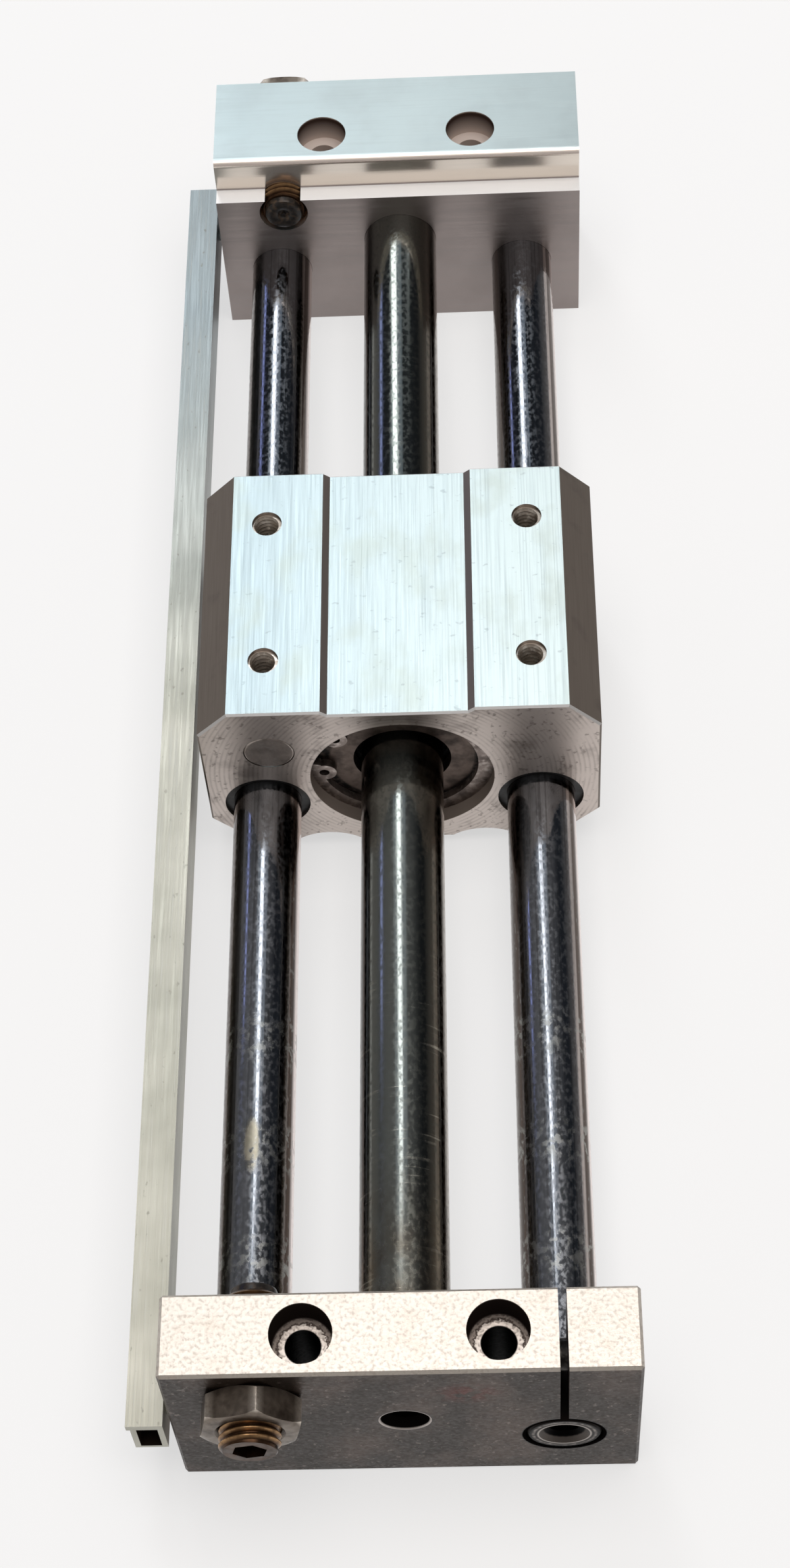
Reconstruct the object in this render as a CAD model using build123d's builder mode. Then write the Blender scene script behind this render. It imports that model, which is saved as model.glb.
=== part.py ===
from build123d import *
import os

os.makedirs("parts", exist_ok=True)

# Magnetically coupled rodless cylinder with a guided slide block, in millimetres.
# X runs across the plates, Y along the stroke and Z up from the mounting face.
# The origin is the centre of the four mounting screws, on the mounting face.
# Near is the -Y end, which holds both air ports. Far is the +Y end.

# Overall form
overall_length = 228.0
plate_width = 60.0
plate_height = 34.0
near_plate_thickness = 11.0
far_plate_thickness = 19.0
far_foot_depth = 3.0
far_ledge_drop = 6.0
far_edge_radius = 1.2
edge_break = 0.4

# Mounting screws, M4 socket heads let into both plates
mount_spacing_x = 24.5
far_screw_inset = 13.0
mount_hole_diameter = 4.5
mount_head_diameter = 8.0
mount_head_depth = 4.6

# Cylinder tube, guide shafts and air passages
tube_height = 18.0
tube_diameter = 12.0
tube_wall = 1.0
near_tube_seat = 4.5
far_tube_seat = 6.0
shaft_height = 12.0
shaft_spacing = 40.5
shaft_diameter = 10.0
shaft_chamfer = 0.5
near_shaft_seat = 8.5
far_shaft_seat = 11.25
hollow_bore = 3.4
port_bore = 4.2
port_depth = 6.5
port_mouth = 6.6
passage_bore = 3.5
passage_inset = 6.25
passage_height = 15.0
chamber_bore = 6.0
chamber_past_passage = 2.0

# Seals, all round cord rings
tube_gasket_cord = 1.5
shaft_gasket_cord = 1.3
gasket_inset = 2.0

# Shaft clamp in the near plate, and the set screws that hold the other shaft ends
clamp_slit = 1.1
clamp_screw_drop = 9.0
clamp_screw_length = 10.0
clamp_head_diameter = 7.0
clamp_head_height = 4.0
clamp_socket = 3.0
clamp_socket_depth = 2.0
small_thread = 4.0
set_screw_length = 5.0
set_screw_socket = 2.0
set_screw_socket_depth = 2.0
set_screw_row = 5.25
plug_thread = 5.0
plug_length = 4.5
plug_recess = 0.5
plug_socket = 2.5
plug_socket_depth = 2.0

# Adjustable stop bolts and their lock nuts
stop_offset = 19.0
stop_drop = 8.7
stop_thread = 8.0
thread_chamfer = 0.6
near_stop_reach = 4.0
far_stop_reach = 0.5
near_bolt_proud = 6.4
far_bolt_proud = 5.2
stop_socket = 4.0
stop_socket_depth = 4.5
lock_nut_width = 12.0
lock_nut_thickness = 4.0
near_nut_turn = 19.0
far_nut_turn = 0.0
bumper_diameter = 6.2
bumper_proud = 1.2
bumper_pocket = 3.0
bumper_round = 0.5

# Slide block
block_width = 58.0
block_length = 44.0
block_rise = 1.0
block_lift = 1.5
block_rest_gap = 87.0
top_chamfer_width = 4.6
top_chamfer_height = 5.0
foot_chamfer_width = 6.0
foot_chamfer_height = 6.5
channel_width = 22.0
channel_depth = 0.8
channel_slope = 1.0
scallop_radius = 7.3
scallop_offset = 11.7
scallop_depth = 2.0
block_edge_break = 0.3

# Thread inserts in the pads of the block
insert_spacing_x = 38.5
insert_spacing_y = 25.0
insert_bore = 3.4
insert_wall = 0.5
insert_length = 8.0
insert_recess = 0.6

# Hardened stop pads let into both ends of the block
stop_pad_diameter = 7.4
stop_pad_length = 4.0
stop_pad_fillet = 0.3

# Shaft bushes and scrapers in the block
bush_wall = 1.0
bush_length = 12.0
bush_inset = 3.0
shaft_scraper_wall = 1.3
shaft_scraper_length = 2.0
shaft_scraper_recess = 0.6

# Magnet stack round the tube, with what holds it in the block
magnet_count = 4
magnet_thickness = 3.0
yoke_thickness = 1.5
slider_bore = 27.0
slider_play = 0.1
outer_magnet_wall = 5.6
outer_magnet_gap = 0.6
outer_yoke_gap = 0.4
ring_recess = 2.2
ring_thickness = 1.2
ring_groove_depth = 0.6
ring_width_back = 2.9
ring_width_ends = 2.1
ring_gap = 5.0
ring_gap_angle = 166.0
ring_lug_diameter = 3.6
ring_lug_hole = 1.5
ring_lug_offset = 4.3
washer_thickness = 2.0
washer_bore = 14.4
tube_scraper_diameter = 18.0
tube_scraper_length = 2.8
tube_scraper_lip = 0.8
tube_wear_wall = 1.3

# Piston inside the tube
piston_play = 0.05
piston_length = 10.0
piston_shaft_diameter = 3.0
piston_magnet_play = 0.3
piston_ring_depth = 0.8
piston_ring_start = 2.2
piston_ring_length = 3.6
piston_seal_start = 7.2
piston_seal_length = 1.6
piston_seal_depth = 1.0
piston_nut_width = 5.5
piston_nut_thickness = 2.4
piston_shaft_end = 1.2
piston_bumper_wall = 1.1
piston_bumper_length = 4.6
piston_bumper_seat = 0.8

# Switch rail and its magnet
rail_length = 220.0
rail_plate_gap = 1.1
rail_block_gap = 2.1
rail_top = 17.5
rail_height = 7.5
rail_flange_width = 4.8
rail_flange_thickness = 1.3
rail_box_width = 4.3
rail_side_wall = 0.8
rail_floor = 0.6
rail_screw_thread = 2.5
rail_screw_shaft_gap = 1.15
rail_head_diameter = 4.4
rail_head_height = 1.6
rail_access_diameter = 4.8
switch_magnet_diameter = 4.0
switch_magnet_length = 1.6
switch_magnet_height = 13.5

# Fits, each a gap on the radius
running_fit = 0.03
seat_fit = 0.02
thread_fit = 0.05

# Places worked out from the sizes above
near_screw_inset = near_plate_thickness / 2
mount_spacing_y = overall_length - near_screw_inset - far_screw_inset
near_screw_y = -mount_spacing_y / 2
far_screw_y = mount_spacing_y / 2
near_outer_y = near_screw_y - near_screw_inset
near_inner_y = near_outer_y + near_plate_thickness
far_outer_y = far_screw_y + far_screw_inset
far_step_y = far_outer_y - far_plate_thickness
far_inner_y = far_step_y - far_foot_depth
passage_y = far_outer_y - passage_inset
chamber_end_y = passage_y + chamber_past_passage
shaft_x = shaft_spacing / 2
shaft_radius = shaft_diameter / 2
tube_radius = tube_diameter / 2
tube_inner_radius = tube_radius - tube_wall
stop_radius = stop_thread / 2
stop_height = plate_height - stop_drop
clamp_screw_height = plate_height - clamp_screw_drop
set_screw_near_y = near_screw_y
set_screw_far_y = far_inner_y + set_screw_row
block_near_y = near_inner_y + block_rest_gap
block_far_y = block_near_y + block_length
block_middle_y = (block_near_y + block_far_y) / 2
block_top = plate_height + block_rise
block_bottom = block_lift
channel_floor = block_top - channel_depth
bush_radius = shaft_radius + bush_wall
shaft_scraper_radius = shaft_radius + shaft_scraper_wall
insert_radius = insert_bore / 2 + insert_wall
slider_radius = slider_bore / 2
ring_groove_radius = slider_radius + ring_groove_depth
stack_length = magnet_count * magnet_thickness + (magnet_count + 1) * yoke_thickness
stack_half = stack_length / 2
washer_half = block_length / 2 - ring_recess - ring_thickness
holder_half = washer_half - washer_thickness
holder_length = holder_half - stack_half
tube_wear_radius = tube_radius + running_fit + tube_wear_wall
piston_radius = tube_inner_radius - piston_play
rail_right_x = -max(plate_width / 2 + rail_plate_gap, block_width / 2 + rail_block_gap)
rail_spacer_length = -plate_width / 2 - rail_right_x
rail_left_x = rail_right_x - rail_flange_width
rail_box_left_x = rail_right_x - rail_box_width
rail_bottom = rail_top - rail_height
rail_cavity_height = rail_height - rail_flange_thickness - rail_floor
rail_screw_height = rail_bottom + rail_floor + rail_cavity_height / 2
rail_screw_tip_x = -shaft_x - shaft_radius - rail_screw_shaft_gap


def cross_plane(y):
    """The XZ plane at y, looking to the near end: a negative extrusion runs to the far end."""
    return Plane.XZ.offset(-y)


def facing_near(x, y, z):
    """A place on a face that looks to the near end, so a hole here runs to the far end."""
    return Location((x, y, z), (90, 0, 0))


def facing_far(x, y, z):
    """A place on a face that looks to the far end, so a hole here runs to the near end."""
    return Location((x, y, z), (-90, 0, 0))


def facing_left(x, y, z):
    """A place on a left side, so a hole here runs to the right."""
    return Location((x, y, z), (0, -90, 0))


def facing_right(x, y, z):
    """A place on a right side, so a hole here runs to the left."""
    return Location((x, y, z), (0, 90, 0))


# Near plate: carries the centre port and clamps the hollow right shaft
with BuildPart() as near_plate:
    with BuildSketch(cross_plane(near_outer_y)):
        with Locations((0, plate_height / 2)):
            Rectangle(plate_width, plate_height)
    extrude(amount=-near_plate_thickness)
    chamfer(near_plate.edges(), edge_break)
    with Locations(Plane.XY.offset(plate_height)):
        with Locations((0, near_screw_y)):
            with GridLocations(mount_spacing_x, 1, 2, 1):
                CounterBoreHole(mount_hole_diameter / 2, mount_head_diameter / 2, mount_head_depth)
    with Locations(facing_far(0, near_inner_y, tube_height)):
        Hole(tube_radius + seat_fit, near_tube_seat)
    with Locations(facing_near(0, near_outer_y, tube_height)):
        CounterSinkHole(port_bore / 2, port_mouth / 2, port_depth, 90)
    with BuildSketch(cross_plane(near_inner_y - gasket_inset)):
        with Locations((0, tube_height)):
            Circle(tube_radius + tube_gasket_cord)
    extrude(amount=tube_gasket_cord, mode=Mode.SUBTRACT)
    with Locations(facing_far(-shaft_x, near_inner_y, shaft_height)):
        Hole(shaft_radius + seat_fit, near_shaft_seat)
    with Locations(facing_near(shaft_x, near_outer_y, shaft_height)):
        Hole(shaft_radius + seat_fit, near_plate_thickness)
    with BuildSketch(cross_plane(near_outer_y)):
        with Locations((shaft_x, (shaft_height + plate_height) / 2)):
            Rectangle(clamp_slit, plate_height - shaft_height)
    extrude(amount=-near_plate_thickness, mode=Mode.SUBTRACT)
    with Locations(facing_right(plate_width / 2, near_screw_y, clamp_screw_height)):
        CounterBoreHole(
            small_thread / 2, clamp_head_diameter / 2 + thread_fit, clamp_head_height,
            clamp_head_height + clamp_screw_length + clamp_slit,
        )
    with Locations(facing_near(-stop_offset, near_outer_y, stop_height)):
        Hole(stop_radius, near_plate_thickness)
    with Locations(Location((-shaft_x, set_screw_near_y, 0), (180, 0, 0))):
        Hole(small_thread / 2, shaft_height)
    with Locations(facing_left(-plate_width / 2, near_screw_y, rail_screw_height)):
        Hole(rail_screw_thread / 2, rail_screw_tip_x + plate_width / 2)
near_plate.part.label = "near_plate"
export_step(near_plate.part, "parts/near_plate.step")

# Far plate: a thinner head over a thicker foot, with the air passage drilled across the foot
with BuildPart() as far_plate:
    with BuildSketch(Plane.YZ.offset(-plate_width / 2)):
        with BuildLine():
            Polyline(
                (far_inner_y, 0),
                (far_outer_y, 0),
                (far_outer_y, plate_height),
                (far_step_y, plate_height),
                (far_step_y, plate_height - far_ledge_drop),
                (far_inner_y, plate_height - far_ledge_drop),
                close=True,
            )
        make_face()
    extrude(amount=plate_width)
    outer_edges = far_plate.edges().filter_by_position(Axis.Y, far_outer_y - 0.1, far_outer_y + 0.1)
    front_top_edge = (
        far_plate.edges().filter_by(Axis.X).group_by(Axis.Z)[-1].sort_by(Axis.Y)[0]
    )
    fillet(front_top_edge, far_edge_radius)
    chamfer(outer_edges, edge_break)
    with Locations(Plane.XY.offset(plate_height)):
        with Locations((0, far_screw_y)):
            with GridLocations(mount_spacing_x, 1, 2, 1):
                CounterBoreHole(mount_hole_diameter / 2, mount_head_diameter / 2, mount_head_depth)
    with Locations(facing_near(0, far_inner_y, tube_height)):
        Hole(tube_radius + seat_fit, far_tube_seat)
        Hole(chamber_bore / 2, chamber_end_y - far_inner_y)
    with Locations(
        facing_near(-shaft_x, far_inner_y, shaft_height),
        facing_near(shaft_x, far_inner_y, shaft_height),
    ):
        Hole(shaft_radius + seat_fit, far_shaft_seat)
    with Locations(facing_near(shaft_x, far_inner_y, shaft_height)):
        Hole(chamber_bore / 2, chamber_end_y - far_inner_y)
    for x, z, radius, cord in (
        (0, tube_height, tube_radius, tube_gasket_cord),
        (shaft_x, shaft_height, shaft_radius, shaft_gasket_cord),
    ):
        with BuildSketch(cross_plane(far_inner_y + gasket_inset)):
            with Locations((x, z)):
                Circle(radius + cord)
        extrude(amount=-cord, mode=Mode.SUBTRACT)
    with Locations(facing_right(plate_width / 2, passage_y, passage_height)):
        Hole(passage_bore / 2, plate_width / 2 + passage_bore / 2)
        Hole(plug_thread / 2, plug_recess + plug_length)
    with Locations(facing_far(-stop_offset, far_outer_y, stop_height)):
        Hole(stop_radius, far_plate_thickness + far_foot_depth)
    with Locations(
        Location((-shaft_x, set_screw_far_y, 0), (180, 0, 0)),
        Location((shaft_x, set_screw_far_y, 0), (180, 0, 0)),
    ):
        Hole(small_thread / 2, shaft_height)
    with Locations(facing_left(-plate_width / 2, far_screw_y, rail_screw_height)):
        Hole(rail_screw_thread / 2, rail_screw_tip_x + plate_width / 2)
far_plate.part.label = "far_plate"
export_step(far_plate.part, "parts/far_plate.step")

# Cylinder tube, held between the seats of the plates
with BuildPart() as cylinder_tube:
    with BuildSketch(cross_plane(near_inner_y - near_tube_seat)):
        with Locations((0, tube_height)):
            Circle(tube_radius)
            Circle(tube_inner_radius, mode=Mode.SUBTRACT)
    extrude(amount=-(far_inner_y - near_inner_y + near_tube_seat + far_tube_seat))
cylinder_tube.part.label = "cylinder_tube"
export_step(cylinder_tube.part, "parts/cylinder_tube.step")

# Left guide shaft, solid and blind in both plates
with BuildPart() as guide_shaft_left:
    with BuildSketch(cross_plane(near_inner_y - near_shaft_seat)):
        with Locations((-shaft_x, shaft_height)):
            Circle(shaft_radius)
    extrude(amount=-(far_inner_y - near_inner_y + near_shaft_seat + far_shaft_seat))
    chamfer(guide_shaft_left.edges().filter_by(GeomType.CIRCLE), shaft_chamfer)
guide_shaft_left.part.label = "guide_shaft_left"
export_step(guide_shaft_left.part, "parts/guide_shaft_left.step")

# Right guide shaft, hollow: it brings the far chamber's air to the port in its near end
with BuildPart() as guide_shaft_right:
    with BuildSketch(cross_plane(near_outer_y)):
        with Locations((shaft_x, shaft_height)):
            Circle(shaft_radius)
    extrude(amount=-(far_inner_y + far_shaft_seat - near_outer_y))
    chamfer(guide_shaft_right.edges().filter_by(GeomType.CIRCLE), shaft_chamfer)
    with Locations(facing_near(shaft_x, near_outer_y, shaft_height)):
        Hole(hollow_bore / 2, far_inner_y + far_shaft_seat - near_outer_y)
        CounterSinkHole(port_bore / 2, port_mouth / 2, port_depth, 90)
guide_shaft_right.part.label = "guide_shaft_right"
export_step(guide_shaft_right.part, "parts/guide_shaft_right.step")

# Cord rings that seal the tube in both plates
with BuildPart() as tube_gaskets:
    for y in (
        near_inner_y - gasket_inset - tube_gasket_cord / 2,
        far_inner_y + gasket_inset + tube_gasket_cord / 2,
    ):
        with BuildSketch(Plane.YZ):
            with Locations((y, tube_height + tube_radius + tube_gasket_cord / 2)):
                Circle(tube_gasket_cord / 2)
        revolve(axis=Axis((0, 0, tube_height), (0, 1, 0)))
tube_gaskets.part.label = "tube_gaskets"
export_step(tube_gaskets.part, "parts/tube_gaskets.step")

# Cord ring that seals the hollow shaft in the far plate
with BuildPart() as shaft_gasket:
    with BuildSketch(Plane.YZ.offset(shaft_x)):
        with Locations((
            far_inner_y + gasket_inset + shaft_gasket_cord / 2,
            shaft_height + shaft_radius + shaft_gasket_cord / 2,
        )):
            Circle(shaft_gasket_cord / 2)
    revolve(axis=Axis((shaft_x, 0, shaft_height), (0, 1, 0)))
shaft_gasket.part.label = "shaft_gasket"
export_step(shaft_gasket.part, "parts/shaft_gasket.step")

# Socket head screw across the slit of the near plate
with BuildPart() as clamp_screw:
    head_face_x = plate_width / 2
    seat_x = head_face_x - clamp_head_height
    with BuildSketch(Plane.YZ.offset(seat_x)):
        with Locations((near_screw_y, clamp_screw_height)):
            Circle(clamp_head_diameter / 2)
    extrude(amount=clamp_head_height)
    chamfer(clamp_screw.edges().sort_by(Axis.X)[-1], edge_break)
    with BuildSketch(Plane.YZ.offset(seat_x)):
        with Locations((near_screw_y, clamp_screw_height)):
            Circle(small_thread / 2 - thread_fit)
    extrude(amount=-clamp_screw_length)
    with BuildSketch(Plane.YZ.offset(head_face_x)):
        with Locations((near_screw_y, clamp_screw_height)):
            RegularPolygon(clamp_socket / 2, 6, major_radius=False)
    extrude(amount=-clamp_socket_depth, mode=Mode.SUBTRACT)
clamp_screw.part.label = "clamp_screw"
export_step(clamp_screw.part, "parts/clamp_screw.step")

# Set screws under the three blind shaft seats
with BuildPart() as shaft_set_screws:
    set_screw_top = shaft_height - shaft_radius
    for x, y in (
        (-shaft_x, set_screw_near_y), (-shaft_x, set_screw_far_y), (shaft_x, set_screw_far_y)
    ):
        with BuildSketch(Plane.XY.offset(set_screw_top)):
            with Locations((x, y)):
                Circle(small_thread / 2 - thread_fit)
        extrude(amount=-set_screw_length)
        with BuildSketch(Plane.XY.offset(set_screw_top - set_screw_length)):
            with Locations((x, y)):
                RegularPolygon(set_screw_socket / 2, 6, major_radius=False)
        extrude(amount=set_screw_socket_depth, mode=Mode.SUBTRACT)
shaft_set_screws.part.label = "shaft_set_screws"
export_step(shaft_set_screws.part, "parts/shaft_set_screws.step")

# Plug that closes the mouth of the cross passage
with BuildPart() as passage_plug:
    plug_face_x = plate_width / 2 - plug_recess
    with BuildSketch(Plane.YZ.offset(plug_face_x)):
        with Locations((passage_y, passage_height)):
            Circle(plug_thread / 2 - thread_fit)
    extrude(amount=-plug_length)
    with BuildSketch(Plane.YZ.offset(plug_face_x)):
        with Locations((passage_y, passage_height)):
            RegularPolygon(plug_socket / 2, 6, major_radius=False)
    extrude(amount=-plug_socket_depth, mode=Mode.SUBTRACT)
passage_plug.part.label = "passage_plug"
export_step(passage_plug.part, "parts/passage_plug.step")

# Stop bolts with their rubber bumpers and lock nuts, one set in each plate
for end, outer_y, inner_y, inward, reach, proud, nut_turn in (
    ("near", near_outer_y, near_inner_y, 1, near_stop_reach, near_bolt_proud, near_nut_turn),
    ("far", far_outer_y, far_inner_y, -1, far_stop_reach, far_bolt_proud, far_nut_turn),
):
    bumper_tip_y = inner_y + inward * reach
    bolt_inner_y = bumper_tip_y - inward * bumper_proud
    bolt_outer_y = outer_y - inward * proud
    pocket_y = bolt_inner_y - inward * bumper_pocket

    with BuildPart() as stop_bolt:
        with BuildSketch(cross_plane(bolt_outer_y)):
            with Locations((-stop_offset, stop_height)):
                Circle(stop_radius - thread_fit)
        extrude(amount=bolt_outer_y - bolt_inner_y)
        chamfer(stop_bolt.edges().filter_by(GeomType.CIRCLE), thread_chamfer)
        with BuildSketch(cross_plane(bolt_outer_y)):
            with Locations((-stop_offset, stop_height)):
                RegularPolygon(stop_socket / 2, 6, major_radius=False)
        extrude(amount=-inward * stop_socket_depth, mode=Mode.SUBTRACT)
        with BuildSketch(cross_plane(bolt_inner_y)):
            with Locations((-stop_offset, stop_height)):
                Circle(bumper_diameter / 2)
        extrude(amount=inward * bumper_pocket, mode=Mode.SUBTRACT)
    stop_bolt.part.label = f"{end}_stop_bolt"
    export_step(stop_bolt.part, f"parts/{end}_stop_bolt.step")

    with BuildPart() as stop_bumper:
        with BuildSketch(cross_plane(pocket_y)):
            with Locations((-stop_offset, stop_height)):
                Circle(bumper_diameter / 2 - seat_fit)
        extrude(amount=pocket_y - bumper_tip_y)
        tip_edges = stop_bumper.edges().filter_by(GeomType.CIRCLE).sort_by(Axis.Y)
        fillet(tip_edges[-1] if inward > 0 else tip_edges[0], bumper_round)
    stop_bumper.part.label = f"{end}_stop_bumper"
    export_step(stop_bumper.part, f"parts/{end}_stop_bumper.step")

    with BuildPart() as lock_nut:
        with BuildSketch(cross_plane(outer_y)):
            with Locations((-stop_offset, stop_height)):
                RegularPolygon(
                    lock_nut_width / 2, 6, major_radius=False, rotation=inward * nut_turn
                )
                Circle(stop_radius, mode=Mode.SUBTRACT)
        extrude(amount=inward * lock_nut_thickness)
        # A nut is turned down at both faces, so its corners are cut by a shallow double cone
        corner_radius = lock_nut_width / 3**0.5
        cone_drop = (corner_radius - lock_nut_width / 2) * 3**-0.5
        with BuildSketch(Plane.YZ.offset(-stop_offset)):
            with BuildLine():
                Polyline(
                    (outer_y, stop_height),
                    (outer_y, stop_height + lock_nut_width / 2),
                    (outer_y - inward * cone_drop, stop_height + corner_radius),
                    (outer_y - inward * (lock_nut_thickness - cone_drop), stop_height + corner_radius),
                    (outer_y - inward * lock_nut_thickness, stop_height + lock_nut_width / 2),
                    (outer_y - inward * lock_nut_thickness, stop_height),
                    close=True,
                )
            make_face()
        revolve(axis=Axis((-stop_offset, 0, stop_height), (0, 1, 0)), mode=Mode.INTERSECT)
    lock_nut.part.label = f"{end}_lock_nut"
    export_step(lock_nut.part, f"parts/{end}_lock_nut.step")

# Slide block: mounting pads beside a shallow channel, bored for the tube stack and both shafts
with BuildPart() as slide_block:
    half_width = block_width / 2
    pad_edge_x = half_width - top_chamfer_width
    foot_edge_x = half_width - foot_chamfer_width
    with BuildSketch(cross_plane(block_near_y)):
        with BuildLine():
            Polyline(
                (0, channel_floor),
                (channel_width / 2 - channel_slope, channel_floor),
                (channel_width / 2, block_top),
                (pad_edge_x, block_top),
                (half_width, block_top - top_chamfer_height),
                (half_width, block_bottom + foot_chamfer_height),
                (foot_edge_x, block_bottom),
                (0, block_bottom),
            )
            mirror(about=Plane.YZ)
        make_face()
        with Locations(
            (-scallop_offset, block_bottom + scallop_depth - scallop_radius),
            (scallop_offset, block_bottom + scallop_depth - scallop_radius),
        ):
            Circle(scallop_radius, mode=Mode.SUBTRACT)
    extrude(amount=-block_length)
    end_edges = slide_block.edges().filter_by(GeomType.LINE).filter_by(Axis.Y, reverse=True)
    chamfer(end_edges, block_edge_break)
    with Locations(facing_near(0, block_near_y, tube_height)):
        Hole(slider_radius, block_length)
    for x in (-shaft_x, shaft_x):
        with Locations(facing_near(x, block_near_y, shaft_height)):
            Hole(bush_radius + seat_fit, block_length)
    for place in (facing_near, facing_far):
        end_y = block_near_y if place is facing_near else block_far_y
        with Locations(place(-shaft_x, end_y, shaft_height), place(shaft_x, end_y, shaft_height)):
            Hole(shaft_scraper_radius + seat_fit, shaft_scraper_recess + shaft_scraper_length)
        with Locations(place(-stop_offset, end_y, stop_height)):
            Hole(stop_pad_diameter / 2 + seat_fit, stop_pad_length)
    for ring_y in (
        block_near_y + ring_recess, block_far_y - ring_recess - ring_thickness
    ):
        with BuildSketch(cross_plane(ring_y)):
            with Locations((0, tube_height)):
                Circle(ring_groove_radius)
        extrude(amount=-ring_thickness, mode=Mode.SUBTRACT)
    with Locations(Plane.XY.offset(block_top)):
        with Locations((0, block_middle_y)):
            with GridLocations(insert_spacing_x, insert_spacing_y, 2, 2):
                Hole(insert_radius + seat_fit, insert_recess + insert_length)
    with Locations(facing_left(-half_width, block_middle_y, switch_magnet_height)):
        Hole(switch_magnet_diameter / 2 + seat_fit, switch_magnet_length)
slide_block.part.label = "slide_block"
export_step(slide_block.part, "parts/slide_block.step")

# Steel thread inserts, where the load is bolted on
with BuildPart() as thread_inserts:
    with BuildSketch(Plane.XY.offset(block_top - insert_recess)):
        with Locations((0, block_middle_y)):
            with GridLocations(insert_spacing_x, insert_spacing_y, 2, 2):
                Circle(insert_radius)
                Circle(insert_bore / 2, mode=Mode.SUBTRACT)
    extrude(amount=-insert_length)
thread_inserts.part.label = "thread_inserts"
export_step(thread_inserts.part, "parts/thread_inserts.step")

# Hardened pads that meet the stop bumpers
for end, face_y, inward in (("near", block_near_y, 1), ("far", block_far_y, -1)):
    with BuildPart() as stop_pad:
        with BuildSketch(cross_plane(face_y)):
            with Locations((-stop_offset, stop_height)):
                Circle(stop_pad_diameter / 2)
        extrude(amount=-inward * stop_pad_length)
        pad_edges = stop_pad.edges().filter_by(GeomType.CIRCLE).sort_by(Axis.Y)
        fillet(pad_edges[0] if inward > 0 else pad_edges[-1], stop_pad_fillet)
    stop_pad.part.label = f"{end}_stop_pad"
    export_step(stop_pad.part, f"parts/{end}_stop_pad.step")

# Plain bushes that run on the guide shafts, two in each shaft bore
with BuildPart() as guide_bushes:
    for y in (block_near_y + bush_inset, block_far_y - bush_inset - bush_length):
        with BuildSketch(cross_plane(y)):
            with Locations((-shaft_x, shaft_height), (shaft_x, shaft_height)):
                Circle(bush_radius)
                Circle(shaft_radius + running_fit, mode=Mode.SUBTRACT)
        extrude(amount=-bush_length)
guide_bushes.part.label = "guide_bushes"
export_step(guide_bushes.part, "parts/guide_bushes.step")

# Rubber scrapers that wipe the guide shafts at both ends of the block
with BuildPart() as shaft_scrapers:
    for y in (
        block_near_y + shaft_scraper_recess,
        block_far_y - shaft_scraper_recess - shaft_scraper_length,
    ):
        with BuildSketch(cross_plane(y)):
            with Locations((-shaft_x, shaft_height), (shaft_x, shaft_height)):
                Circle(shaft_scraper_radius)
                Circle(shaft_radius + running_fit, mode=Mode.SUBTRACT)
        extrude(amount=-shaft_scraper_length)
shaft_scrapers.part.label = "shaft_scrapers"
export_step(shaft_scrapers.part, "parts/shaft_scrapers.step")

# Ring magnets and the iron yokes between them, outside the tube
with BuildPart() as outer_magnets:
    for i in range(magnet_count):
        magnet_y = (
            block_middle_y - stack_half + yoke_thickness + i * (magnet_thickness + yoke_thickness)
        )
        with BuildSketch(cross_plane(magnet_y)):
            with Locations((0, tube_height)):
                Circle(tube_radius + outer_magnet_gap + outer_magnet_wall)
                Circle(tube_radius + outer_magnet_gap, mode=Mode.SUBTRACT)
        extrude(amount=-magnet_thickness)
outer_magnets.part.label = "outer_magnets"
export_step(outer_magnets.part, "parts/outer_magnets.step")

with BuildPart() as outer_yokes:
    for i in range(magnet_count + 1):
        yoke_y = block_middle_y - stack_half + i * (magnet_thickness + yoke_thickness)
        with BuildSketch(cross_plane(yoke_y)):
            with Locations((0, tube_height)):
                Circle(slider_radius - slider_play)
                Circle(tube_radius + outer_yoke_gap, mode=Mode.SUBTRACT)
        extrude(amount=-yoke_thickness)
outer_yokes.part.label = "outer_yokes"
export_step(outer_yokes.part, "parts/outer_yokes.step")

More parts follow.
